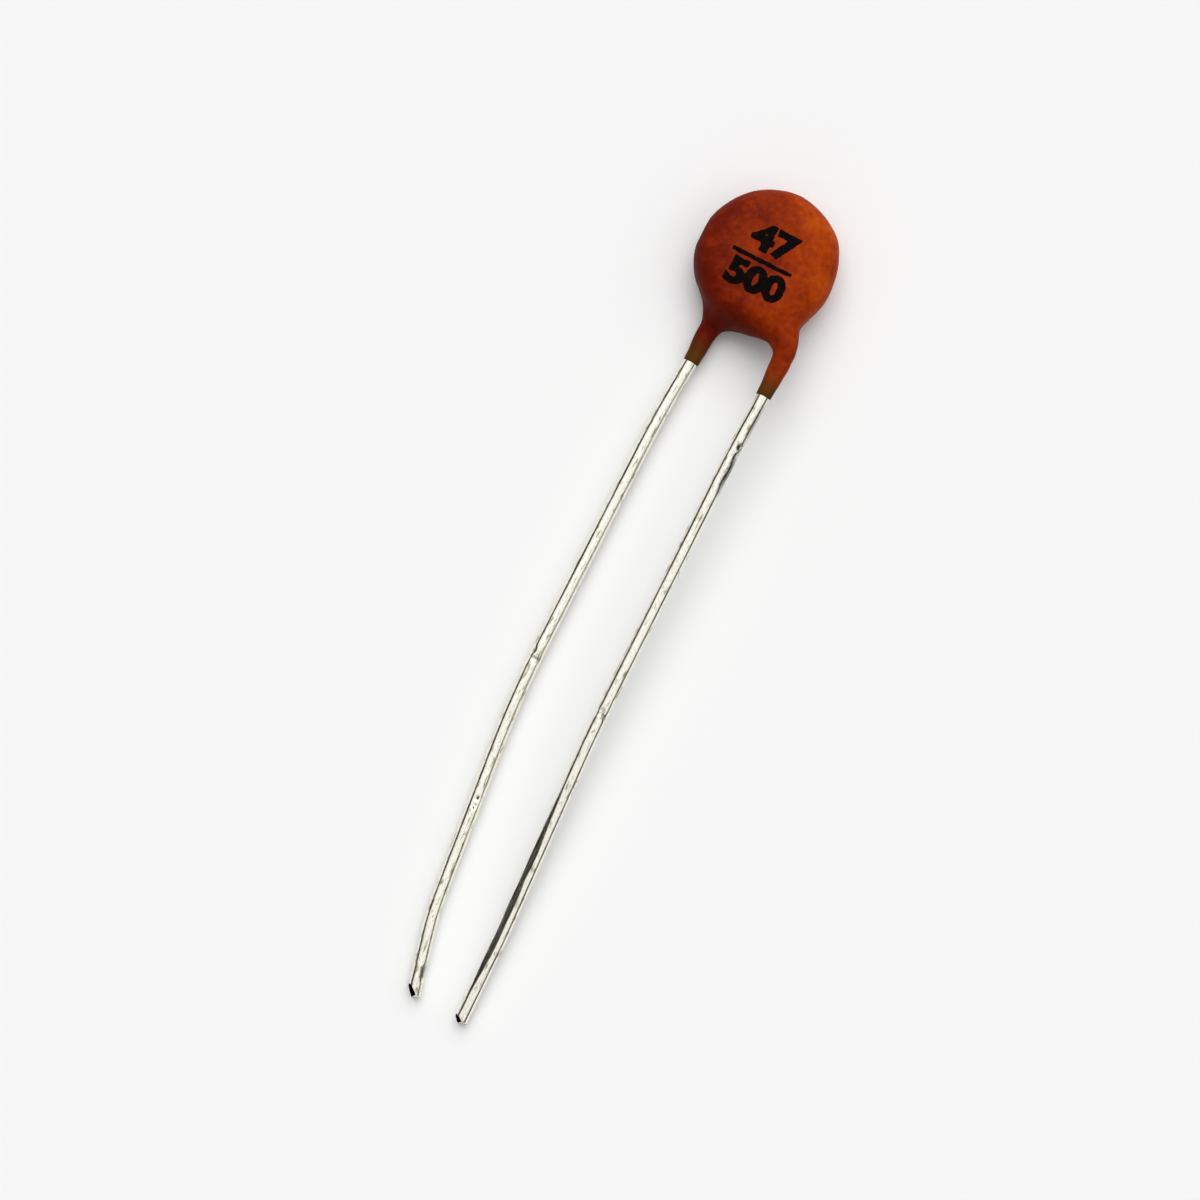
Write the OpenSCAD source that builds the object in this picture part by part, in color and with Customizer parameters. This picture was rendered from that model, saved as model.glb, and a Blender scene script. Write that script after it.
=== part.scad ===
// Ceramic disc capacitor with radial leads, lying on its back.
// +Y points from the leads to the disc, +Z is up, and z = 0 is the surface it lies on.
// All sizes are in millimetres.

/* [Ceramic element] */
// Diameter of the ceramic disc
ceramic_d = 4.2; // [3.9:0.1:6]
// Thickness of the ceramic disc
ceramic_t = 0.5; // [0.3:0.05:1]
// Diameter of the silver film on each face
electrode_d = 3.6; // [3.2:0.1:3.9]
// Thickness of the silver film
electrode_t = 0.02; // [0.01:0.005:0.05]

/* [Leads] */
// Diameter of the tinned wire
wire_d = 0.5; // [0.4:0.05:0.65]
// Distance between the wires at the neck, just below the coating
lead_spacing = 2.9; // [2.5:0.05:3.3]
// How far the pair of wires stands to the right of the disc
lead_shift = 0.58; // [0:0.02:0.7]
// Bare length of the front wire below the coating
lead_length = 24.2; // [19:0.1:40]
// How much shorter the back wire is cut
back_trim = 0.1; // [0:0.05:2]
// How far each wire reaches up past the centre of the disc
lead_lap = 0.7; // [0.4:0.05:0.8]

/* [Lead bends] */
// Depth of the front wire's elbow below the ceramic
elbow_drop = 0.6; // [0.5:0.05:0.8]
// Slant of the front wire above its elbow, in degrees
elbow_slant = 22; // [15:1:26]
// Bend radius of the elbow
elbow_r = 1; // [0.6:0.1:1.5]
// Depth of the neck bend below the coating
neck_drop = 2.2; // [1.5:0.1:3]
// Height of the long bend above the tips
long_rise = 11; // [9:0.1:12]
// Height of the end bend above the tips
end_rise = 3.3; // [2.8:0.1:4]
// Bend radius of the neck and long bends
bow_r = 40; // [20:1:60]
// Bend radius of the end bends
end_r = 12; // [6:1:16]
// Front wire: elbow to the right of the neck
front_elbow_out = 0.11; // [0:0.01:0.2]
// Front wire: long bend to the right of the neck
front_long_out = 0.07; // [-0.2:0.01:0.3]
// Front wire: end bend to the right of the neck
front_end_out = 0.46; // [0.3:0.01:0.8]
// Front wire: tip to the right of the neck
front_tip_out = 0.52; // [0.35:0.01:0.9]
// Front wire: height of the long bend above lying flat
front_hang = 0.75; // [0.4:0.05:1]
// Back wire: soldered end to the right of the neck
back_root_in = 0.38; // [0.2:0.01:0.6]
// Back wire: start of its fall to the right of the neck
back_elbow_in = 0.21; // [0.1:0.01:0.3]
// Back wire: long bend to the right of the neck
back_long_in = 0.01; // [-0.2:0.01:0.3]
// Back wire: end bend to the right of the neck
back_end_in = 0.84; // [0.5:0.01:1]
// Back wire: tip to the right of the neck
back_tip_in = 1.56; // [1.2:0.01:1.8]

/* [Solder] */
// Film of solder between a wire and its electrode
solder_film = 0.03; // [0.02:0.01:0.06]
// Solder over the top of a wire
solder_cap = 0.08; // [0.05:0.01:0.12]
// Diameter of a solder mound
solder_d = 1.5; // [1.3:0.1:1.7]
// Distance from the end of a wire to the middle of its mound
solder_set = 0.55; // [0.4:0.05:0.8]

/* [Coating] */
// Resin around the edge of the ceramic
coat_rim = 0.4; // [0.3:0.05:0.8]
// Resin over the top of a wire
coat_cover = 0.2; // [0.16:0.02:0.5]
// Radius of the rounded rim
rim_r = 0.9; // [0.6:0.05:0.95]
// Length of the sleeves below the disc
leg_length = 1.8; // [1.5:0.1:3]
// Resin on a wire where its sleeve leaves the disc
leg_coat = 0.12; // [0.08:0.01:0.2]
// Resin on a wire where its sleeve ends
leg_film = 0.03; // [0.02:0.01:0.06]
// How widely the resin rounds off between the disc and a sleeve
blend = 0.75; // [0.5:0.05:1]
// Radius of the web of resin between the sleeves
web_r = 0.24; // [0.16:0.02:0.34]

/* [Hidden] */
$fn = 96;

wire_r = wire_d / 2;
body_r = ceramic_d / 2 + coat_rim;

// Heights above the middle of the ceramic, out to one face of the coating
solder_z = ceramic_t / 2 + electrode_t;
wire_z = solder_z + solder_film + wire_r;
half_t = wire_z + wire_r + coat_cover;
rim = min(rim_r, half_t);
rest_z = -half_t;

// Levels along the leads, with the centre of the disc at y = 0
elbow_y = -ceramic_d / 2 - elbow_drop;
leg_y = -body_r - leg_length;
neck_y = leg_y - neck_drop;
front_tip_y = leg_y - lead_length;
back_tip_y = front_tip_y + back_trim;
front_x = lead_shift + lead_spacing / 2;
back_x = lead_shift - lead_spacing / 2;

// Axis of the front wire, from its soldered end to its tip
front_elbow_x = front_x + front_elbow_out;
front_end_x = front_elbow_x - (lead_lap - elbow_y) * tan(elbow_slant);
front_fall = [
    [front_tip_y, rest_z + wire_r],
    [front_tip_y + long_rise, rest_z + wire_r + front_hang],
    [elbow_y, wire_z]
];
front_plan = [
    [front_end_x, lead_lap],
    [front_elbow_x, elbow_y],
    [front_x, neck_y],
    [front_x + front_long_out, front_tip_y + long_rise],
    [front_x + front_end_out, front_tip_y + end_rise],
    [front_x + front_tip_out, front_tip_y]
];
front_route = [for (p = front_plan) [p.x, p.y, lookup(p.y, front_fall)]];
front_bends = [elbow_r, bow_r, bow_r, end_r];

// Axis of the back wire, from its soldered end to its tip
back_fall = [
    [back_tip_y, rest_z + wire_r],
    [elbow_y, -wire_z]
];
back_plan = [
    [back_x + back_root_in, lead_lap],
    [back_x + back_elbow_in, elbow_y],
    [back_x, neck_y],
    [back_x + back_long_in, back_tip_y + long_rise],
    [back_x + back_end_in, back_tip_y + end_rise],
    [back_x + back_tip_in, back_tip_y]
];
back_route = [for (p = back_plan) [p.x, p.y, lookup(p.y, back_fall)]];
back_bends = [bow_r, bow_r, bow_r, end_r];

// Where the middle of the whole part lies, seen from the disc
part_x = (front_x + front_tip_out + wire_r - body_r) / 2;
part_y = (body_r + front_tip_y) / 2;

// A bend is drawn this much thinner, and runs this far into the straight stretches beside it
bend_thin = wire_r / 100;
bend_lap = wire_r / 8;

// Fineness of the resin skin: its steps down a sleeve, over the disc and around a section
sleeve_steps = 8;
disc_steps = 80;
round_steps = 36;

// Widest part of a sleeve
sleeve_d = wire_d + 2 * leg_coat;
// Depth of the point below the disc from which its sections fan out
fan_drop = 0.4;
fan_centre = [(front_x + back_x) / 2, -body_r - fan_drop];
// Distance up the disc over which the twist of the coating dies out
twist_run = 1.2;
// Axes of the sleeves, and the ends of the web, level with the edge of the ceramic
front_axis = sleeve_axis(front_route);
back_axis = sleeve_axis(back_route);
web_ends = [for (r = [back_route, front_route]) point_at(r[0], r[1], -ceramic_d / 2)];

function unit(v) = v / norm(v);

// The point at level y on the line from a to b
function point_at(a, b, y) = a + (b - a) * (y - a.y) / (b.y - a.y);

// Tangent length of a bend of radius r at b, on the way from a to c
function setback(a, b, c, r) = r * tan(acos(unit(b - a) * unit(c - b)) / 2);

// Puts the origin under the middle of the part, on the surface it lies on
module place() {
    translate([-part_x, -part_y, half_t]) children();
}

// A round wire through the points of a route, with a bend radius at each inner point
module wire(route, bends) {
    last = len(route) - 1;
    gaps = [
        0,
        for (i = [1 : last - 1]) setback(route[i - 1], route[i], route[i + 1], bends[i - 1]),
        0
    ];
    for (i = [0 : last - 1]) {
        along = unit(route[i + 1] - route[i]);
        run = norm(route[i + 1] - route[i]) - gaps[i] - gaps[i + 1];
        translate(route[i] + along * gaps[i])
            rotate([0, acos(along.z), atan2(along.y, along.x)])
                cylinder(h = run, r = wire_r);
    }
    for (i = [1 : last - 1]) wire_bend(route[i - 1], route[i], route[i + 1], bends[i - 1]);
}

// The arc of radius r that rounds the corner at b
module wire_bend(a, b, c, r) {
    along = unit(b - a);
    onward = unit(c - b);
    inward = unit(onward - along * (along * onward));
    side = cross(along, inward);
    centre = b - along * setback(a, b, c, r) + inward * r;
    lap_angle = asin(bend_lap / r);
    multmatrix([
        [-inward.x, along.x, side.x, centre.x],
        [-inward.y, along.y, side.y, centre.y],
        [-inward.z, along.z, side.z, centre.z],
        [0, 0, 0, 1]
    ])
        rotate_extrude(angle = acos(along * onward) + 2 * lap_angle, start = -lap_angle)
            translate([r, 0]) circle(wire_r - bend_thin);
}

// Distance from a point to the rounded disc of resin, negative inside it
function disc_skin(p) =
    let (
        across = norm([p.x, p.y]) - (body_r - rim),
        up = abs(p.z) - (half_t - rim)
    )
    min(max(across, up), 0) + norm([max(across, 0), max(up, 0)]) - rim;

// Distance from a point to the line from a to b
function line_gap(p, a, b) =
    let (t = min(max((p - a) * (b - a) / ((b - a) * (b - a)), 0), 1))
    norm(p - a - t * (b - a));

// Axis of a sleeve: the wire inside the coating, with its elbow rounded off
function sleeve_axis(route) =
    let (
        bow = 2 * setback(route[0], route[1], route[2], elbow_r),
        above = route[1] + unit(route[0] - route[1]) * bow,
        below = route[1] + unit(route[2] - route[1]) * bow,
        between = (above + below) / 4 + route[1] / 2
    )
    [route[0], above, between, below, route[2]];

// Distance from a point to the resin sleeve on a wire, which thins towards both ends
function sleeve_skin(p, axis) =
    min([for (i = [1 : len(axis) - 1]) line_gap(p, axis[i - 1], axis[i])])
    - lookup(p.y, [[leg_y, wire_r + leg_film], [-body_r, wire_r + leg_coat], [lead_lap, 0]]);

// Two distances joined with a soft fillet between their surfaces
function melt(a, b) =
    let (near = max(blend - abs(a - b), 0))
    min(a, b) - near * near / (4 * blend);

// Distance from a point to the whole coating
function skin(p) =
    let (
        sleeves = melt(sleeve_skin(p, front_axis), sleeve_skin(p, back_axis)),
        web = line_gap(p, web_ends[0], web_ends[1]) - web_r
    )
    melt(melt(disc_skin(p), sleeves), web);

// A point in plan raised to the middle of the coating, which is level in the disc
// and twists below it from the height of one wire to that of the other
function in_middle(p) =
    let (
        wires = [
            [back_x + sleeve_d, lookup(p.y, back_fall)],
            [front_x - sleeve_d, lookup(p.y, front_fall)]
        ],
        twist = lookup(p.y, [[-body_r, 1], [-body_r + twist_run, 0]])
    )
    [p.x, p.y, twist * lookup(p.x, wires)];

// The point in plan where a line along a direction meets the outline of the coating
function edge(p, direction, steps = 24) =
    steps == 0 ? p : edge(p - skin(in_middle(p)) * direction, direction, steps - 1);

// The point of the skin straight above (way 1) or below (way -1) a point inside it
function skin_point(p, way, steps = 16) =
    steps == 0
        ? [p.x, p.y, max(p.z, rest_z)]
        : skin_point(p - [0, 0, way * skin(p)], way, steps - 1);

// One upright section through the skin, from edge to edge along a direction in plan
function section(spot, out) =
    let (
        outer = edge(spot, out),
        inner = edge(spot, -out)
    )
    [
        for (k = [0 : round_steps - 1])
            let (
                turn = 360 * k / round_steps,
                across = (outer + inner) / 2 + (outer - inner) / 2 * cos(turn)
            )
            skin_point(in_middle(across), sign(sin(turn)))
    ];

// A level section of a sleeve
function sleeve_section(route, y, out) =
    section([point_at(route[1], route[2], y).x, y], out);

// A section of the disc, fanned out at an angle in plan from the point between the sleeves
function fan_section(angle) =
    let (
        route = angle < 90 ? front_route : back_route,
        out = [cos(angle), sin(angle)],
        top = [route[0].x, route[0].y] - fan_centre,
        run = [route[1].x - route[0].x, route[1].y - route[0].y],
        to_wire = cross(top, run) / cross(out, run),
        to_middle = norm(fan_centre)
    )
    section(fan_centre + out * min(to_wire, to_middle), out);

// The resin skin, up the back sleeve, over the disc and down the front sleeve
module resin_skin() {
    levels = [for (k = [0 : sleeve_steps - 1]) leg_y + (fan_centre.y - leg_y) * k / sleeve_steps];
    rings = [
        for (y = levels) sleeve_section(back_route, y, [-1, 0]),
        for (k = [0 : disc_steps]) fan_section(180 - 180 * k / disc_steps),
        for (k = [1 : sleeve_steps]) sleeve_section(front_route, levels[sleeve_steps - k], [1, 0])
    ];
    last = len(rings) - 1;
    side_faces = [
        for (j = [0 : last - 1], k = [0 : round_steps - 1])
            let (
                a = j * round_steps + k,
                b = j * round_steps + (k + 1) % round_steps
            )
            each [[a, b, a + round_steps], [b, b + round_steps, a + round_steps]]
    ];
    first_end = [for (k = [round_steps - 1 : -1 : 0]) k];
    last_end = [for (k = [0 : round_steps - 1]) last * round_steps + k];
    polyhedron([for (r = rings) each r], concat(side_faces, [first_end, last_end]));
}

// The ceramic disc before anything is put on it
module ceramic_form() {
    cylinder(h = ceramic_t, d = ceramic_d, center = true);
}

// The silver film on the upper face
module electrode_form() {
    translate([0, 0, ceramic_t / 2]) cylinder(h = electrode_t, d = electrode_d);
}

// A solder mound on the upper face, over the soldered end of a route
module mound(route) {
    centre = route[0] + unit(route[1] - route[0]) * solder_set;
    rise = solder_film + wire_d + solder_cap;
    ball_r = (pow(solder_d / 2, 2) + pow(rise, 2)) / (2 * rise);
    translate([centre.x, centre.y, solder_z])
        rotate_extrude()
            intersection() {
                translate([0, rise - ball_r]) circle(ball_r);
                square([solder_d, rise]);
            }
}

// The dipped resin, hollow where it closed round the pieces inside
module coating() {
    color("sienna") place() difference() {
        resin_skin();
        ceramic_form();
        electrode_form();
        mirror([0, 0, 1]) electrode_form();
        mound(front_route);
        mirror([0, 0, 1]) mound(back_route);
        wire(front_route, front_bends);
        wire(back_route, back_bends);
    }
}

module ceramic_disc() {
    color("linen") place() ceramic_form();
}

module front_electrode() {
    color("lightgray") place() electrode_form();
}

module back_electrode() {
    color("lightgray") place() mirror([0, 0, 1]) electrode_form();
}

module front_solder() {
    color("darkgray") place() difference() {
        mound(front_route);
        wire(front_route, front_bends);
    }
}

module back_solder() {
    color("darkgray") place() difference() {
        mirror([0, 0, 1]) mound(back_route);
        wire(back_route, back_bends);
    }
}

module front_lead() {
    color("gainsboro") place() wire(front_route, front_bends);
}

module back_lead() {
    color("gainsboro") place() wire(back_route, back_bends);
}

coating();
ceramic_disc();
front_electrode();
back_electrode();
front_solder();
back_solder();
front_lead();
back_lead();
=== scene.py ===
import math

import bpy
from mathutils import Matrix, Vector
from mathutils.bvhtree import BVHTree


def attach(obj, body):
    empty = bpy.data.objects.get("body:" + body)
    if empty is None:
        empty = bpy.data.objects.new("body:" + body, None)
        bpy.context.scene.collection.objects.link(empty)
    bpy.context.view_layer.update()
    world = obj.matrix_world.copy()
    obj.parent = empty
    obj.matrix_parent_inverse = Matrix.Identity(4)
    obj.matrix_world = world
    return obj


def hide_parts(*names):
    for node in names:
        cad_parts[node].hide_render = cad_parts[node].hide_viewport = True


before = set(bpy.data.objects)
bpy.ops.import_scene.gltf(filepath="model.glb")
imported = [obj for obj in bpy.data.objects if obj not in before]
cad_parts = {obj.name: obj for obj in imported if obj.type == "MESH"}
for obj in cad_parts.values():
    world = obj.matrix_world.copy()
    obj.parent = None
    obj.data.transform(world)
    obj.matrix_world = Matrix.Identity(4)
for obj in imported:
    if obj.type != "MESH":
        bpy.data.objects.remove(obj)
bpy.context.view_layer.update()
mm = 0.001  # new pieces are modelled with one unit to the millimetre and brought to metres at the end
print("frame loaded:", ", ".join(sorted(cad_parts)))


# small tools

shaping = {
    "weld": 0.0005,     # mm, corners of a frame mesh nearer than this are joined
    "onePoint": 0.008,  # mm, vertices this near to a spot are pushed with it
    "crispEdge": 40,    # degrees, a sharper edge stays crisp
}


def pickOnly(obj):
    bpy.ops.object.select_all(action="DESELECT")
    obj.select_set(True)
    bpy.context.view_layer.objects.active = obj


def pickVertices(obj, wanted):
    pickOnly(obj)
    bpy.ops.object.mode_set(mode="EDIT")
    bpy.ops.mesh.select_mode(type="VERT")
    bpy.ops.mesh.select_all(action="DESELECT")
    bpy.ops.object.mode_set(mode="OBJECT")
    for vertex in obj.data.vertices:
        vertex.select = wanted(vertex.co)
    bpy.ops.object.mode_set(mode="EDIT")


def pushSpot(obj, spot, shift, reach):
    nearest = min(obj.data.vertices, key=lambda vertex: (vertex.co - spot).length).co.copy()
    pickVertices(obj, lambda co: (co - nearest).length < shaping["onePoint"])
    bpy.ops.transform.translate(
        value=shift,
        use_proportional_edit=True,
        proportional_edit_falloff="SMOOTH",
        proportional_size=reach,
    )
    bpy.ops.object.mode_set(mode="OBJECT")


def applyModifier(obj, kind, **settings):
    pickOnly(obj)
    modifier = obj.modifiers.new(kind.title(), kind)
    for name, value in settings.items():
        setattr(modifier, name, value)
    bpy.ops.object.modifier_apply(modifier=modifier.name)


def cloudTexture(name, grain):
    texture = bpy.data.textures.new(name, "CLOUDS")
    texture.noise_scale = grain
    return texture


def copyOfNode(nodeName, pieceName):
    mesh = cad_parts[nodeName].data.copy()
    mesh.materials.clear()
    mesh.transform(Matrix.Scale(1 / mm, 4))
    piece = bpy.data.objects.new(pieceName, mesh)
    bpy.context.scene.collection.objects.link(piece)
    pickOnly(piece)
    bpy.ops.object.mode_set(mode="EDIT")
    bpy.ops.mesh.select_all(action="SELECT")
    bpy.ops.mesh.remove_doubles(threshold=shaping["weld"])
    bpy.ops.object.mode_set(mode="OBJECT")
    return piece


def toMetres(obj):
    pickOnly(obj)
    obj.scale = (mm, mm, mm)
    bpy.ops.object.transform_apply(location=True, rotation=True, scale=True)
    bpy.ops.object.shade_smooth_by_angle(angle=math.radians(shaping["crispEdge"]))


# camera: nearly straight down, with the part lying turned in the picture

cameraView = {
    "frameWidth": 41.96,       # mm across the picture at the height of the wires
    "aim": (0.08, -0.2, 1.0),  # mm, the middle of the picture
    "lens": 200,
    "sensor": 36,
    "turn": 27,                # degrees, the part lies clockwise of upright
    "tilt": 4,                 # degrees off straight down, towards the lower edge
    "clip": (0.01, 100),       # nearest and farthest that is drawn, as shares of the distance
}


def placeCamera(settings):
    data = bpy.data.cameras.new("camera")
    data.lens = settings["lens"]
    data.sensor_width = settings["sensor"]
    camera = bpy.data.objects.new("camera", data)
    bpy.context.scene.collection.objects.link(camera)
    distance = settings["frameWidth"] * mm * settings["lens"] / settings["sensor"]
    turn = Matrix.Rotation(math.radians(settings["turn"]), 4, "Z")
    tilt = Matrix.Rotation(math.radians(settings["tilt"]), 4, "X")
    back = Matrix.Translation((0, 0, distance))
    camera.matrix_world = Matrix.Translation(Vector(settings["aim"]) * mm) @ turn @ tilt @ back
    nearest, farthest = settings["clip"]
    data.clip_start = distance * nearest
    data.clip_end = distance * farthest
    bpy.context.scene.camera = camera


placeCamera(cameraView)
print("camera placed")


# leads: a circle of wire drawn along its route, bent, pressed, dented and cut off

wire = {
    "radius": 0.25,
    "sides": 40,
    "step": 0.08,       # mm between rings
    "bendSteps": 3,     # rings in the shortest bend
    "cutSpare": 0.25,   # mm drawn past the tip before it is cut
    "cutMerge": 0.012,  # mm, slivers left by a cut that are smaller are closed
    "cutSegments": 3,   # faces across the rounded edge of a cut
    "tipReach": 0.7,    # mm from the tip within which cut faces lie
    "bareTurn": 0.9,    # cosine, tip faces turned nearer than this to the first cut are bare copper, painted dark
}

frontLead = {
    "route": [
        (0.6163, 13.7, 1.55), (1.99, 10.3, 1.55), (1.88, 6.5, 1.4088),
        (1.95, -4.5, 1), (2.34, -12.2, 0.475), (2.4, -15.5, 0.25),
    ],
    "bendRadii": [1, 40, 40, 12],
    # each cut: the way it faces, how far past the tip it meets the axis, how round its edge is
    "cuts": [((-0.6, -0.75, 0.28), 0.06, 0.02), ((0.12, -0.98, 0.15), 0.05, 0.05)],
    # where along the part, at which angle from the top towards the left, how deep and how wide
    "dents": [
        (6.7, -25, 0.07, 0.16), (6.3, -50, 0.05, 0.35), (5.4, -50, 0.04, 0.4), (-3.7, 5, 0.03, 0.22),
        (-3.85, -50, 0.035, 0.16), (-3.75, 60, 0.03, 0.16),
    ],
    # left side pressed flat near the tip: how deep at places along the part, and which way it leans
    "flank": {
        "depths": [
            (-6.6, 0), (-8, 0.016), (-9.2, 0.05), (-10.1, 0.03),
            (-11, 0.055), (-11.8, 0.035), (-12.8, 0.045), (-14.4, 0),
        ],
        "lean": 33,
    },
}

backLead = {
    "route": [
        (-0.64, 13.7, 0.45), (-0.81, 10.3, 0.45), (-1.05, 6.5, 0.4204),
        (-1.05, -4.4, 0.3352), (-0.18, -12.6, 0.2754), (0.52, -15.4, 0.25),
    ],
    "bendRadii": [40, 40, 40, 12],
    "cuts": [((-0.6, -0.72, 0.34), 0.05, 0.02), ((0.25, -0.95, 0.2), 0.07, 0.06)],
    "dents": [
        (-2.8, 40, 0.04, 0.2), (-3.1, 70, 0.04, 0.16), (-3.0, -20, 0.03, 0.25),
        (-8.3, -10, 0.05, 0.13), (-8.6, -5, 0.05, 0.13), (-14.6, -60, 0.06, 0.4),
    ],
}


def routeOf(settings):
    return [Vector(point) for point in settings["route"]]


def axisAt(route, y):
    for start, end in zip(route, route[1:]):
        if y >= end.y:
            break
    return start.lerp(end, (y - start.y) / (end.y - start.y))


def outward(angle):  # out of the wire, turned by degrees from the top towards the left
    return Vector((-math.sin(math.radians(angle)), 0, math.cos(math.radians(angle))))


def drawStraight(here, there):
    crotchShade = there - here
    steps = max(1, round(crotchShade.length / wire["step"]))
    bpy.ops.mesh.extrude_repeat(steps=steps, offset=crotchShade / steps)
    return there


def drawBend(before, corner, after, radius):
    along = (corner - before).normalized()
    onward = (after - corner).normalized()
    angle = along.angle(onward)
    setback = radius * math.tan(angle / 2)
    here = drawStraight(before, corner - along * setback)
    inward = (onward - along * along.dot(onward)).normalized()
    steps = max(wire["bendSteps"], round(radius * angle / wire["step"]))
    bpy.ops.mesh.spin(
        steps=steps,
        angle=-angle,  # spin turns clockwise
        center=here + inward * radius,
        axis=along.cross(onward).normalized(),
    )
    return corner + onward * setback


def drawLead(name, settings):
    route = routeOf(settings)
    away = (route[-1] - route[-2]).normalized()
    bpy.ops.object.select_all(action="DESELECT")
    bpy.ops.mesh.primitive_circle_add(
        vertices=wire["sides"],
        radius=wire["radius"],
        fill_type="NGON",
        location=route[0],
        rotation=(route[1] - route[0]).to_track_quat("Z", "Y").to_euler(),
    )
    lead = bpy.context.object
    lead.name = name
    bpy.ops.object.transform_apply(location=True, rotation=True, scale=True)
    bpy.ops.object.mode_set(mode="EDIT")
    bpy.ops.mesh.select_all(action="SELECT")
    here = route[0]
    for corner, after, radius in zip(route[1:], route[2:], settings["bendRadii"]):
        here = drawBend(here, corner, after, radius)
    drawStraight(here, route[-1] + away * wire["cutSpare"])
    bpy.ops.object.mode_set(mode="OBJECT")
    return lead


def pressFlank(lead, settings):
    route = routeOf(settings)
    out = outward(settings["flank"]["lean"])
    depths = settings["flank"]["depths"]
    for (start, startDepth), (end, endDepth) in zip(depths, depths[1:]):
        for vertex in lead.data.vertices:
            if end <= vertex.co.y < start:
                share = (start - vertex.co.y) / (start - end)
                depth = startDepth + (endDepth - startDepth) * share
                past = (vertex.co - axisAt(route, vertex.co.y)).dot(out) - (wire["radius"] - depth)
                vertex.co -= out * max(past, 0)


def dentLead(lead, settings):
    route = routeOf(settings)
    for y, angle, depth, reach in settings["dents"]:
        out = outward(angle)
        pushSpot(lead, axisAt(route, y) + out * wire["radius"], out * -depth, reach)


def cutLead(lead, settings):
    route = routeOf(settings)
    away = (route[-1] - route[-2]).normalized()
    for facing, past, edge in settings["cuts"]:
        pickOnly(lead)
        bpy.ops.object.mode_set(mode="EDIT")
        bpy.ops.mesh.select_all(action="SELECT")
        bpy.ops.mesh.bisect(
            plane_co=route[-1] + away * past,
            plane_no=Vector(facing).normalized(),
            use_fill=True,
            clear_outer=True,
        )
        bpy.ops.mesh.remove_doubles(threshold=wire["cutMerge"], use_unselected=True)
        bpy.ops.mesh.bevel(offset=edge, segments=wire["cutSegments"], affect="EDGES", clamp_overlap=True)
        bpy.ops.mesh.select_all(action="SELECT")
        bpy.ops.mesh.normals_make_consistent(inside=False)
        bpy.ops.object.mode_set(mode="OBJECT")


frontWire = drawLead("tinned_front_lead", frontLead)
backWire = drawLead("tinned_back_lead", backLead)
leads = ((frontWire, frontLead), (backWire, backLead))
pressFlank(frontWire, frontLead)
for lead, settings in leads:
    dentLead(lead, settings)
    cutLead(lead, settings)
print("leads drawn:", len(frontWire.data.polygons) + len(backWire.data.polygons), "faces")


# coating: the dipped resin, from the frame's own form, evened out as it flowed

resin = {
    "discCentre": (-0.15, 13.0, 1.0),
    "legEnd": 8.7,         # mm along the part, where the sleeves stop
    "sleevesBelow": -2.9,  # mm from the centre, where the disc gives way to the sleeves
    "flatSide": -2.43,     # mm from the centre, where the left edge is flattened
    "innerGap": 0.012,     # mm, a face nearer to an inner piece than this lines the hollow
    "voxel": 0.045,
    "smoothing": 12,       # passes
    "sleeveGain": 0.008,   # mm put back on the sleeves after smoothing
    "waves": (1.3, 0.06),  # mm across and mm high, the slow unevenness of the dip
    "peel": (0.3, 0.012),  # mm across and mm high, the fine one
    # from the disc's centre: spot, shift and reach, where the dip ran wider than a true round
    "runs": [
        ((0.9, 2.33), (0.03, 0.08), 2.2),
        ((-0.3, 2.45), (-0.01, 0.1), 2.8),
        ((1.9, 1.6), (0.1, 0.08), 1.7),
        ((2.5, -0.3), (0.05, 0), 1.8),
        ((2.13, -1.51), (0.08, -0.02), 1.0),
        ((-1.05, -3.2), (-0.07, 0), 0.9),
        ((1.75, -3.2), (-0.06, 0), 0.7),
        ((1.9, -4.3), (0, -0.1), 0.6),
        ((2.2, -4.3), (0, -0.06), 0.4),
    ],
    "restLevel": 0.002,    # mm, nothing hangs lower than the surface it lies on
}
discCentre = Vector(resin["discCentre"])


def openHollow(coat):
    inner = []
    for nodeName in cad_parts:
        if nodeName != "coating":
            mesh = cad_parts[nodeName].data
            points = [vertex.co / mm for vertex in mesh.vertices]
            inner.append(BVHTree.FromPolygons(points, [polygon.vertices for polygon in mesh.polygons]))
    pickVertices(coat, lambda co: False)
    bpy.ops.mesh.select_mode(type="FACE")
    bpy.ops.object.mode_set(mode="OBJECT")
    for polygon in coat.data.polygons:
        polygon.select = any(tree.find_nearest(polygon.center, resin["innerGap"])[0] for tree in inner)
    bpy.ops.object.mode_set(mode="EDIT")
    bpy.ops.mesh.delete(type="FACE")
    bpy.ops.mesh.select_mode(type="EDGE")
    bpy.ops.mesh.select_non_manifold()
    bpy.ops.mesh.fill()
    bpy.ops.mesh.select_all(action="SELECT")
    bpy.ops.mesh.normals_make_consistent(inside=False)
    bpy.ops.object.mode_set(mode="OBJECT")


def flattenSide(coat):
    pickVertices(coat, lambda co: True)
    bpy.ops.mesh.bisect(
        plane_co=(discCentre.x + resin["flatSide"], 0, 0),
        plane_no=(-1, 0, 0),
        use_fill=True,
        clear_outer=True,
    )
    bpy.ops.object.mode_set(mode="OBJECT")


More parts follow.
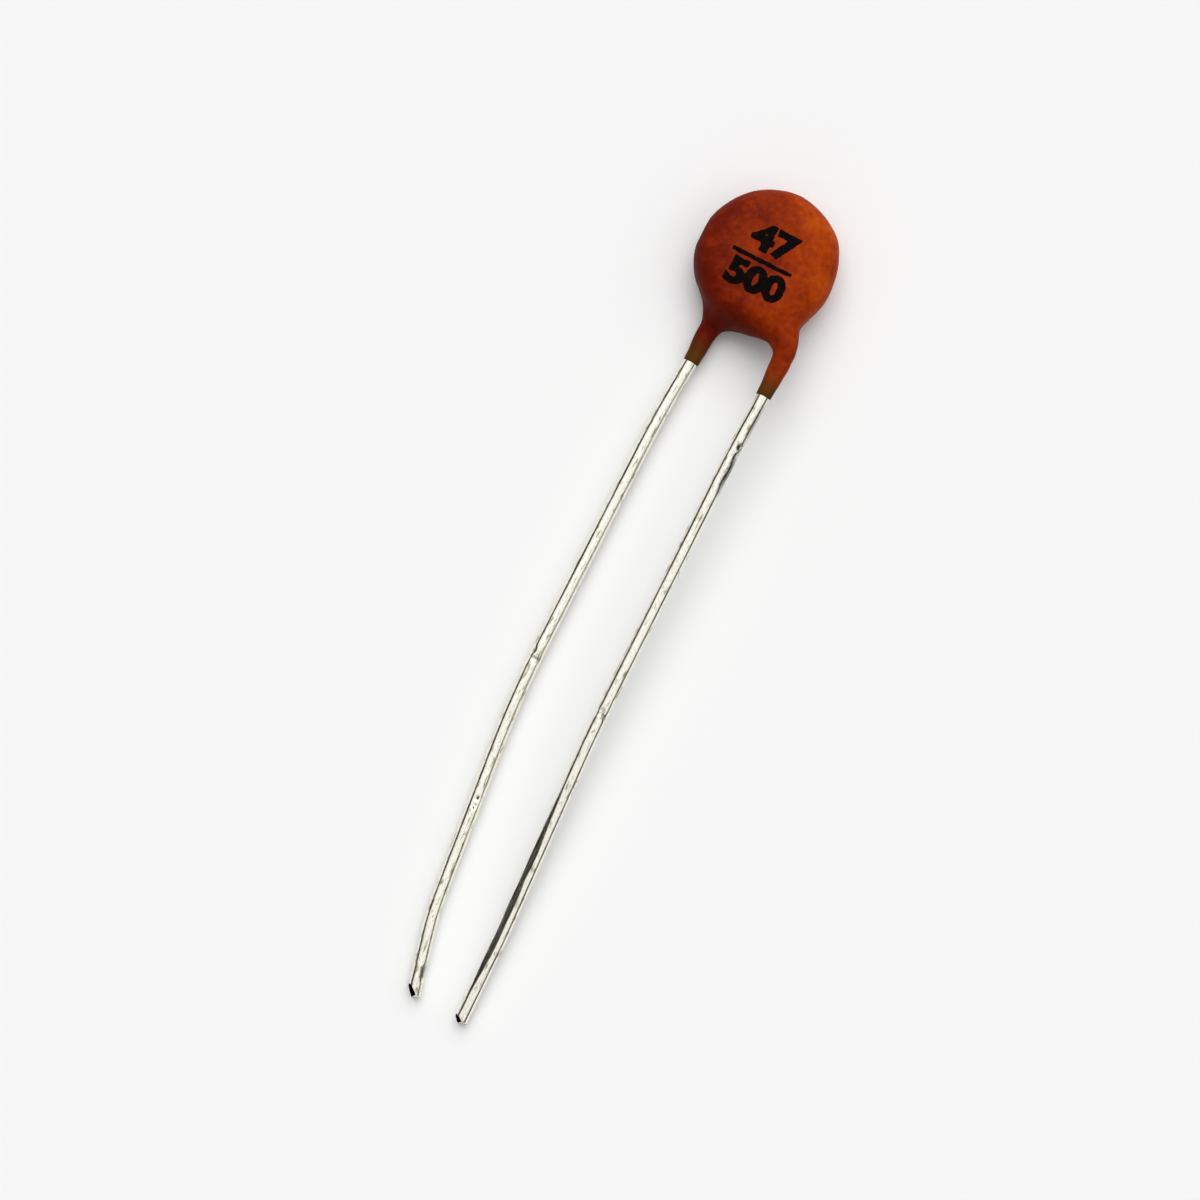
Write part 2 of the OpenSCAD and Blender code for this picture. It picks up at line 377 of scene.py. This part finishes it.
def dipCoating():
    coat = copyOfNode("coating", "dipped_coating")
    openHollow(coat)
    flattenSide(coat)
    applyModifier(coat, "REMESH", mode="VOXEL", voxel_size=resin["voxel"])
    applyModifier(coat, "SMOOTH", iterations=resin["smoothing"])
    for spot, shift, reach in resin["runs"]:
        pushSpot(coat, discCentre + Vector((*spot, 0)), Vector((*shift, 0)), reach)
    sleeves = coat.vertex_groups.new(name="sleeves")
    below = discCentre.y + resin["sleevesBelow"]
    sleeves.add([vertex.index for vertex in coat.data.vertices if vertex.co.y < below], 1, "REPLACE")
    applyModifier(coat, "DISPLACE", strength=resin["sleeveGain"], mid_level=0, vertex_group="sleeves")
    for name in ("waves", "peel"):
        grain, height = resin[name]
        applyModifier(coat, "DISPLACE", texture=cloudTexture(name, grain), strength=height)
    for vertex in coat.data.vertices:
        vertex.co.z = max(vertex.co.z, resin["restLevel"])
    return coat


def hollowOut(coat):
    inside = ("ceramic_disc", "front_electrode", "back_electrode", "front_solder", "back_solder")
    copies = [copyOfNode(nodeName, "tool_" + nodeName) for nodeName in inside]
    for tool in [frontWire, backWire] + copies:
        applyModifier(coat, "BOOLEAN", object=tool, operation="DIFFERENCE", solver="MANIFOLD")
    for tool in copies:
        bpy.data.objects.remove(tool)
    coat.data.materials.clear()  # the cuts leave an empty slot


coating = dipCoating()
hollowOut(coating)
print("coating dipped:", len(coating.data.polygons), "faces")


# marking: plain numbers stamped in thick ink

ink = {
    # figures, width and height of the row, middle from the disc's centre
    "rows": [("47", (1.75, 1.05), (0.0, 0.62)), ("500", (2.2, 1.0), (0.0, -0.86))],
    "bar": ((2.3, 0.15), (-0.08, -0.13)),
    "spread": 0.055,      # mm that the ink spreads past the type
    "voxel": 0.024,
    "smoothing": 8,       # passes
    "rag": (0.16, 0.07),  # mm across and mm high, the unevenness of its edge
    "slab": 0.12,         # mm, worked thick and then pressed onto the coating
    "pressFrom": 10,      # mm up, well above the coating
    "thick": 0.014,
    "lift": 0.002,
}


def stampMarking():
    rows = []
    for figures, (width, height), middle in ink["rows"]:
        bpy.ops.object.select_all(action="DESELECT")
        bpy.ops.object.text_add(location=(discCentre.x + middle[0], discCentre.y + middle[1], 0))
        row = bpy.context.object
        row.data.body = figures
        row.data.size = height
        row.data.align_x = "CENTER"
        row.data.align_y = "CENTER"
        row.data.offset = ink["spread"]
        row.data.extrude = ink["slab"] / 2
        bpy.ops.object.convert(target="MESH")
        row = bpy.context.object
        row.dimensions = (width, height, ink["slab"])
        rows.append(row)
    (width, height), middle = ink["bar"]
    bpy.ops.object.select_all(action="DESELECT")
    bpy.ops.mesh.primitive_cube_add(
        size=1,
        location=(discCentre.x + middle[0], discCentre.y + middle[1], 0),
        scale=(width, height, ink["slab"]),
    )
    stamped = bpy.context.object
    stamped.name = "stamped_marking"
    for row in rows:
        row.select_set(True)
    bpy.ops.object.join()
    bpy.ops.object.transform_apply(location=True, rotation=True, scale=True)
    applyModifier(stamped, "REMESH", mode="VOXEL", voxel_size=ink["voxel"])
    applyModifier(stamped, "SMOOTH", iterations=ink["smoothing"])
    grain, ragged = ink["rag"]
    applyModifier(stamped, "DISPLACE", texture=cloudTexture("rag", grain), strength=ragged)
    return stamped


def pressOn(stamped, coat):
    points = [vertex.co for vertex in coat.data.vertices]
    skin = BVHTree.FromPolygons(points, [polygon.vertices for polygon in coat.data.polygons])
    lowest = min(vertex.co.z for vertex in stamped.data.vertices)
    highest = max(vertex.co.z for vertex in stamped.data.vertices)
    for vertex in stamped.data.vertices:
        above = Vector((vertex.co.x, vertex.co.y, ink["pressFrom"]))
        surface = skin.ray_cast(above, Vector((0, 0, -1)))[0]
        share = (vertex.co.z - lowest) / (highest - lowest)
        vertex.co.z = surface.z + ink["lift"] + ink["thick"] * share


marking = stampMarking()
pressOn(marking, coating)
print("marking stamped:", len(marking.data.polygons), "faces")


for piece, node, slot in (
    (coating, "coating", "phenolic_coating"),
    (frontWire, "front_lead", "tinned_wire"),
    (backWire, "back_lead", "tinned_wire"),
):
    toMetres(piece)
    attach(piece, "root")
    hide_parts(node)
toMetres(marking)
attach(marking, "root")


# materials

def toLinear(hexCode):
    levels = [int(hexCode[start:start + 2], 16) / 255 for start in (1, 3, 5)]
    return (*[level / 12.92 if level < 0.04045 else ((level + 0.055) / 1.055) ** 2.4 for level in levels], 1)


def addNode(tree, kind, values=None, links=None, **settings):
    node = tree.nodes.new("ShaderNode" + kind)
    for name, value in settings.items():
        setattr(node, name, value)
    for socket, value in (values or {}).items():
        node.inputs[socket].default_value = value
    for socket, source in (links or {}).items():
        tree.links.new(source, node.inputs[socket])
    return node


def newMaterial(name):
    material = bpy.data.materials.new(name)
    material.use_nodes = True
    tree = material.node_tree
    tree.nodes.clear()
    shader = addNode(tree, "BsdfPrincipled")
    addNode(tree, "OutputMaterial", links={"Surface": shader.outputs[0]})
    coords = addNode(tree, "TexCoord").outputs["Object"]
    return material, tree, shader, coords


def perMm(size):  # noise scale for features of a size in mm
    return 1 / (size * mm)


# in a Mix node of colours, inputs 0, 6 and 7 are the share and the two colours, and output 2 is the result

resinFinish = {
    "blotchSize": 1.2,             # mm across
    "grainSize": 0.2,              # mm across
    # the tone is a sum of these, and the stops give its colours
    "toneBase": 0.03,
    "paintedLightShare": 0.2,
    "blotchShare": 0.65,
    "grainShare": 0.3,
    "crotchShadeShare": -0.14,
    "stops": ((0.15, "#480600"), (0.4, "#6E1800"), (0.6, "#962F00"), (0.85, "#C05004")),
    "paintedLightSide": (0.85, 0.45, 0),  # painted light and shade: lighter towards the right and top of the disc, darker towards the lower left
    "paintedLightReach": 2.5,             # mm from its centre
    "crotchShadeMiddle": (0.57, -2.55),    # mm from its centre, painted shade, darker along the crotch
    "crotchShadeSize": (1.9, 0.85),        # mm
    "crotchShadeEdge": (0.35, 1.1),        # shares of its size, between which it fades
    "filmReach": (1.3, 0.05),      # mm up from the ends of the sleeves, where the wire shows through
    "filmColour": "#553208",
    "roughness": (0.5, 0.66),
    "peelBlotches": 0.5,           # weight of the blotches beside the grain in the orange peel
    "peelDepth": 0.03,             # mm
}


def dippedResin(look):
    # phenolic resin, dipped and cured: satin orange-brown, with painted light towards the right and top and
    # painted shade along the crotch, olive as a film
    material, tree, shader, coords = newMaterial("dipped_phenolic_resin")
    blotches = addNode(
        tree, "TexNoise",
        {"Scale": perMm(look["blotchSize"]), "Detail": 5, "Roughness": 0.6},
        {"Vector": coords},
    ).outputs["Fac"]
    grain = addNode(
        tree, "TexNoise", {"Scale": perMm(look["grainSize"]), "Detail": 3}, {"Vector": coords},
    ).outputs["Fac"]
    fromCentre = addNode(
        tree, "VectorMath", {1: discCentre * mm}, {0: coords}, operation="SUBTRACT",
    ).outputs[0]
    # painted light and shade: the disc lighter towards its right and top, darker towards its lower left
    paintedSideLight = addNode(
        tree, "VectorMath", {1: Vector(look["paintedLightSide"]) * perMm(look["paintedLightReach"])},
        {0: fromCentre}, operation="DOT_PRODUCT",
    ).outputs["Value"]
    # painted shade: darker along the crotch
    atCrotchShade = addNode(
        tree, "Mapping",
        {
            "Location": (*[-place / size for place, size in zip(look["crotchShadeMiddle"], look["crotchShadeSize"])], 0),
            "Scale": (*[perMm(size) for size in look["crotchShadeSize"]], 0),
        },
        {"Vector": fromCentre},
    ).outputs[0]
    fromCrotchShade = addNode(tree, "VectorMath", links={0: atCrotchShade}, operation="LENGTH").outputs["Value"]
    crotchShade = addNode(
        tree, "MapRange",
        {
            "From Min": look["crotchShadeEdge"][0], "From Max": look["crotchShadeEdge"][1],
            "To Min": look["crotchShadeShare"], "To Max": 0,
        },
        {"Value": fromCrotchShade}, interpolation_type="SMOOTHSTEP",
    ).outputs[0]
    tone = addNode(
        tree, "Math", {1: look["paintedLightShare"], 2: look["toneBase"]}, {0: paintedSideLight}, operation="MULTIPLY_ADD",
    ).outputs[0]
    for pattern, share in ((blotches, look["blotchShare"]), (grain, look["grainShare"])):
        tone = addNode(
            tree, "Math", {1: share}, {0: pattern, 2: tone}, operation="MULTIPLY_ADD",
        ).outputs[0]
    tone = addNode(tree, "Math", links={0: tone, 1: crotchShade}, operation="ADD").outputs[0]
    ramp = addNode(tree, "ValToRGB", links={"Fac": tone})
    for stop in look["stops"][1:-1]:
        ramp.color_ramp.elements.new(stop[0])
    for element, (position, colour) in zip(ramp.color_ramp.elements, look["stops"]):
        element.position = position
        element.color = toLinear(colour)
    along = addNode(tree, "SeparateXYZ", links={0: coords}).outputs["Y"]
    filmStart, filmFull = look["filmReach"]
    film = addNode(
        tree, "MapRange",
        {"From Min": (resin["legEnd"] + filmStart) * mm, "From Max": (resin["legEnd"] + filmFull) * mm},
        {"Value": along}, interpolation_type="SMOOTHSTEP",
    ).outputs[0]
    colour = addNode(
        tree, "Mix", {7: toLinear(look["filmColour"])}, {0: film, 6: ramp.outputs["Color"]},
        data_type="RGBA",
    ).outputs[2]
    tree.links.new(colour, shader.inputs["Base Color"])
    smooth, dull = look["roughness"]
    gloss = addNode(tree, "MapRange", {"To Min": smooth, "To Max": dull}, {"Value": grain}).outputs[0]
    tree.links.new(gloss, shader.inputs["Roughness"])
    peel = addNode(
        tree, "Math", {1: look["peelBlotches"]}, {0: blotches, 2: grain}, operation="MULTIPLY_ADD",
    ).outputs[0]
    bump = addNode(
        tree, "Bump", {"Strength": 0.5, "Distance": look["peelDepth"] * mm}, {"Height": peel},
    ).outputs[0]
    tree.links.new(bump, shader.inputs["Normal"])
    shader.inputs["IOR"].default_value = 1.58
    shader.inputs["Specular IOR Level"].default_value = 0.05
    return material


tinFinish = {
    # sizes in mm across, along and across the wire, drawn coarser than the real ones so that they show
    "lineSize": (0.07, 2.2, 0.07),
    "fleckSize": (0.11, 0.45, 0.11),
    "speckSize": (0.035, 0.14, 0.035),
    "tin": ("#F8F5E0", "#FEFDF4"),
    "fleck": "#A39E78",
    "fleckEdge": (0.56, 0.72),  # levels of the pattern, where a fleck starts and is full
    "speck": "#8F8B6C",
    "speckEdge": (0.5, 0.72),
    "speckShare": 0.32,
    "roughness": (0.14, 0.26),
    "fleckRoughness": 0.12,     # added on a fleck
    "lineDepth": 0.01,          # mm
    "scuff": "#35322A",
    "scuffRag": 1.6,            # how far the specks fray the edge of a scuff
    "scuffEdge": (1.2, 1.8),    # where its frayed edge starts and ends
    # middle and half size in mm, and how dark: nicks, rubbed stretches and kinks of the leads
    "scuffs": [
        ((2.0, 6.7, 1.62), (0.09, 0.12, 0.2), 1.0),
        ((2.07, 5.75, 1.5), (0.17, 1.0, 0.5), 0.8),
        ((2.12, 7.7, 1.5), (0.15, 1.1, 0.5), 0.5),
        ((1.95, -3.75, 1.25), (0.3, 0.07, 0.2), 0.6),
        ((-1.05, -3.0, 0.6), (0.3, 0.08, 0.25), 0.6),
        ((-0.6, -8.3, 0.54), (0.06, 0.1, 0.1), 1.0),
        ((-0.57, -8.65, 0.54), (0.06, 0.09, 0.1), 1.0),
        ((0.46, -14.7, 0.35), (0.13, 0.45, 0.2), 0.9),
    ],
}


def tinnedWire(look):
    # copper wire drawn and hot tinned: ivory-bright, with fine lines along it and dull flecks in the tin
    material, tree, shader, coords = newMaterial("tinned_copper_wire")
    patterns = []
    for sizes, detail, roughness in (
        (look["lineSize"], 3, 0.55),
        (look["fleckSize"], 2, 0.5),
        (look["speckSize"], 2, 0.5),
    ):
        stretched = addNode(
            tree, "Mapping", {"Scale": [perMm(size) for size in sizes]}, {"Vector": coords},
        ).outputs[0]
        pattern = addNode(
            tree, "TexNoise", {"Scale": 1, "Detail": detail, "Roughness": roughness}, {"Vector": stretched},
        )
        patterns.append(pattern.outputs["Fac"])
    lines, patches, grains = patterns
    flecks = addNode(
        tree, "MapRange", {"From Min": look["fleckEdge"][0], "From Max": look["fleckEdge"][1]},
        {"Value": patches}, interpolation_type="SMOOTHSTEP",
    ).outputs[0]
    specks = addNode(
        tree, "MapRange",
        {"From Min": look["speckEdge"][0], "From Max": look["speckEdge"][1], "To Max": look["speckShare"]},
        {"Value": grains},
    ).outputs[0]
    colour = addNode(
        tree, "Mix", {6: toLinear(look["tin"][0]), 7: toLinear(look["tin"][1])}, {0: lines},
        data_type="RGBA",
    ).outputs[2]
    for spots, tint in ((flecks, look["fleck"]), (specks, look["speck"])):
        colour = addNode(
            tree, "Mix", {7: toLinear(tint)}, {0: spots, 6: colour}, data_type="RGBA",
        ).outputs[2]
    for middle, size, dark in look["scuffs"]:
        atScuff = addNode(
            tree, "Mapping",
            {
                "Location": [-place / half for place, half in zip(middle, size)],
                "Scale": [perMm(half) for half in size],
            },
            {"Vector": coords},
        ).outputs[0]
        away = addNode(tree, "VectorMath", links={0: atScuff}, operation="LENGTH").outputs["Value"]
        frayed = addNode(
            tree, "Math", {1: look["scuffRag"]}, {0: grains, 2: away}, operation="MULTIPLY_ADD",
        ).outputs[0]
        rubbed = addNode(
            tree, "MapRange",
            {
                "From Min": look["scuffEdge"][0], "From Max": look["scuffEdge"][1],
                "To Min": dark, "To Max": 0,
            },
            {"Value": frayed},
        ).outputs[0]
        colour = addNode(
            tree, "Mix", {7: toLinear(look["scuff"])}, {0: rubbed, 6: colour}, data_type="RGBA",
        ).outputs[2]
    tree.links.new(colour, shader.inputs["Base Color"])
    bright, dull = look["roughness"]
    alongLines = addNode(
        tree, "MapRange", {"From Min": 0.3, "From Max": 0.7, "To Min": bright, "To Max": dull},
        {"Value": lines},
    ).outputs[0]
    roughness = addNode(
        tree, "Math", {1: look["fleckRoughness"]}, {0: flecks, 2: alongLines}, operation="MULTIPLY_ADD",
    ).outputs[0]
    tree.links.new(roughness, shader.inputs["Roughness"])
    bump = addNode(
        tree, "Bump", {"Strength": 0.35, "Distance": look["lineDepth"] * mm}, {"Height": lines},
    ).outputs[0]
    tree.links.new(bump, shader.inputs["Normal"])
    shader.inputs["Metallic"].default_value = 1
    return material


def paintedDarkCopper():
    # copper bared by the cutter: reddish and torn, coloured near black as a painted dark reflection, the
    # tears drawn coarser than real ones to show
    material, tree, shader, coords = newMaterial("sheared_copper_painted_dark")
    tears = addNode(
        tree, "TexNoise", {"Scale": perMm(0.06), "Detail": 2}, {"Vector": coords},
    ).outputs["Fac"]
    colour = addNode(
        tree, "Mix", {6: toLinear("#0C0808"), 7: toLinear("#241A16")}, {0: tears}, data_type="RGBA",
    ).outputs[2]
    tree.links.new(colour, shader.inputs["Base Color"])
    bump = addNode(tree, "Bump", {"Strength": 0.4, "Distance": 0.01 * mm}, {"Height": tears}).outputs[0]
    tree.links.new(bump, shader.inputs["Normal"])
    shader.inputs["Metallic"].default_value = 1
    shader.inputs["Roughness"].default_value = 0.42
    shader.inputs["Specular Tint"].default_value = toLinear("#3A302C")  # painted dark reflection, stays dark at a slant
    return material


def stampInk():
    # marking ink rolled on and dried: flat black, browner where it went on thin
    material, tree, shader, coords = newMaterial("stamped_ink")
    cover = addNode(
        tree, "TexNoise", {"Scale": perMm(0.14), "Detail": 3}, {"Vector": coords},
    ).outputs["Fac"]
    thin = addNode(tree, "MapRange", {"From Min": 0.5, "From Max": 0.75}, {"Value": cover}).outputs[0]
    colour = addNode(
        tree, "Mix", {6: toLinear("#060404"), 7: toLinear("#240C06")}, {0: thin}, data_type="RGBA",
    ).outputs[2]
    tree.links.new(colour, shader.inputs["Base Color"])
    dull = addNode(tree, "MapRange", {"To Min": 0.5, "To Max": 0.75}, {"Value": cover}).outputs[0]
    tree.links.new(dull, shader.inputs["Roughness"])
    shader.inputs["Specular IOR Level"].default_value = 0.03
    return material


def firedCeramic():
    # titanate disc, pressed and fired: cream and chalky, its fine pores drawn coarser than real to show
    material, tree, shader, coords = newMaterial("fired_ceramic")
    pores = addNode(
        tree, "TexNoise", {"Scale": perMm(0.09), "Detail": 4}, {"Vector": coords},
    ).outputs["Fac"]
    colour = addNode(
        tree, "Mix", {6: toLinear("#CFC0A0"), 7: toLinear("#E6D9BE")}, {0: pores}, data_type="RGBA",
    ).outputs[2]
    tree.links.new(colour, shader.inputs["Base Color"])
    bump = addNode(tree, "Bump", {"Strength": 0.3, "Distance": 0.01 * mm}, {"Height": pores}).outputs[0]
    tree.links.new(bump, shader.inputs["Normal"])
    shader.inputs["Roughness"].default_value = 0.8
    return material


def firedSilver():
    # silver paste screened on and fired: white and matt, its grain drawn coarser than real to show
    material, tree, shader, coords = newMaterial("fired_silver")
    grain = addNode(
        tree, "TexNoise", {"Scale": perMm(0.06), "Detail": 3}, {"Vector": coords},
    ).outputs["Fac"]
    colour = addNode(
        tree, "Mix", {6: toLinear("#CFCECA"), 7: toLinear("#EBEAE6")}, {0: grain}, data_type="RGBA",
    ).outputs[2]
    tree.links.new(colour, shader.inputs["Base Color"])
    dull = addNode(tree, "MapRange", {"To Min": 0.4, "To Max": 0.6}, {"Value": grain}).outputs[0]
    tree.links.new(dull, shader.inputs["Roughness"])
    shader.inputs["Metallic"].default_value = 1
    return material


def softSolder():
    # tin-lead solder, flowed and set: grey and bright, a little rippled where it froze
    material, tree, shader, coords = newMaterial("soft_solder")
    ripples = addNode(
        tree, "TexNoise", {"Scale": perMm(0.25), "Detail": 2}, {"Vector": coords},
    ).outputs["Fac"]
    colour = addNode(
        tree, "Mix", {6: toLinear("#A4A4A2"), 7: toLinear("#CBCAC4")}, {0: ripples}, data_type="RGBA",
    ).outputs[2]
    tree.links.new(colour, shader.inputs["Base Color"])
    bump = addNode(tree, "Bump", {"Strength": 0.4, "Distance": 0.02 * mm}, {"Height": ripples}).outputs[0]
    tree.links.new(bump, shader.inputs["Normal"])
    shader.inputs["Metallic"].default_value = 1
    shader.inputs["Roughness"].default_value = 0.28
    return material


def finishCuts(lead, settings, bare):
    lead.data.materials.append(bare)
    tip = Vector(settings["route"][-1]) * mm
    facing = Vector(settings["cuts"][0][0]).normalized()
    for polygon in lead.data.polygons:
        atTip = (polygon.center - tip).length < wire["tipReach"] * mm
        if atTip and polygon.normal.dot(facing) > wire["bareTurn"]:
            polygon.material_index = 1


phenolic = dippedResin(resinFinish)
tin = tinnedWire(tinFinish)
copper = paintedDarkCopper()
ceramic = firedCeramic()
silver = firedSilver()
solder = softSolder()
coating.data.materials.append(phenolic)
marking.data.materials.append(stampInk())
for lead, settings in leads:
    lead.data.materials.append(tin)
    finishCuts(lead, settings, copper)
for nodeName, material in (
    ("coating", phenolic),
    ("front_lead", tin),
    ("back_lead", tin),
    ("ceramic_disc", ceramic),
    ("front_electrode", silver),
    ("back_electrode", silver),
    ("front_solder", solder),
    ("back_solder", solder),
):
    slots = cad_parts[nodeName].data.materials
    slots.clear()
    slots.append(material)
print("materials made")


# stage: pale floor, a hood of light from overhead to behind the disc and one broad soft key

stageLight = {
    "floorColour": "#F6F6F6",
    "floorSize": 4,
    "floorDrop": 0.01,         # mm that the floor lies under the part
    "skyTint": "#FCFCFE",
    "skyFill": 0.36,
    "hoodLevel": 0.62,         # added to the fill in the hood
    "hoodEdge": (-0.4, -0.1),  # along the part, where the sky goes from fill to hood
    # each shade: the way it faces, where along that the sky goes from dark to full, and how dark
    "shades": [
        ((0.45, 0, 0.89), (0.02, 0.24), 0.02),  # low on the left
        ((-0.45, 0, 0.89), (-0.1, 0.18), 0.1),  # low on the right
        ((0, 0, 1), (0.08, 0.5), 0.1),          # near the floor all round
    ],
    "keyFrom": (-0.2, 0.58, 0.79),
    "keyAngle": 54,
    "keyLevel": 0.385,         # what the key alone gives the floor
    "keyTint": "#FFFFFB",
}


def buildFloor(settings):
    bpy.ops.object.select_all(action="DESELECT")
    bpy.ops.mesh.primitive_plane_add(
        size=settings["floorSize"], location=(0, 0, -settings["floorDrop"] * mm),
    )
    floor = bpy.context.object
    floor.name = "floor"
    material, _, shader, _ = newMaterial("white_paper")
    shader.inputs["Base Color"].default_value = toLinear(settings["floorColour"])
    shader.inputs["Roughness"].default_value = 0.9
    floor.data.materials.append(material)


def hangKey(settings):
    key = bpy.data.lights.new("key", "SUN")
    towards = Vector(settings["keyFrom"]).normalized()
    key.angle = math.radians(settings["keyAngle"])
    key.energy = math.pi * settings["keyLevel"] / towards.z
    key.color = toLinear(settings["keyTint"])[:3]
    keyLamp = bpy.data.objects.new("key", key)
    keyLamp.rotation_euler = towards.to_track_quat("Z", "Y").to_euler()
    bpy.context.scene.collection.objects.link(keyLamp)


def lightSky(settings):
    world = bpy.data.worlds.new("tent")
    bpy.context.scene.world = world
    world.use_nodes = True
    tree = world.node_tree
    tree.nodes.clear()
    direction = addNode(tree, "TexCoord").outputs["Generated"]
    along = addNode(tree, "SeparateXYZ", links={0: direction}).outputs["Y"]
    hoodStart, hoodFull = settings["hoodEdge"]
    level = addNode(
        tree, "MapRange",
        {
            "From Min": hoodStart, "From Max": hoodFull,
            "To Min": settings["skyFill"], "To Max": settings["skyFill"] + settings["hoodLevel"],
        },
        {"Value": along}, interpolation_type="SMOOTHSTEP",
    ).outputs[0]
    for facing, (dark, full), least in settings["shades"]:
        height = addNode(
            tree, "VectorMath", {1: facing}, {0: direction}, operation="DOT_PRODUCT",
        ).outputs["Value"]
        shade = addNode(
            tree, "MapRange", {"From Min": dark, "From Max": full, "To Min": least},
            {"Value": height}, interpolation_type="SMOOTHSTEP",
        ).outputs[0]
        level = addNode(tree, "Math", links={0: level, 1: shade}, operation="MULTIPLY").outputs[0]
    sky = addNode(tree, "Background", {"Color": toLinear(settings["skyTint"])}, {"Strength": level})
    addNode(tree, "OutputWorld", links={"Surface": sky.outputs[0]})


buildFloor(stageLight)
hangKey(stageLight)
lightSky(stageLight)
bpy.context.scene.view_settings.view_transform = "Standard"
print("stage built")
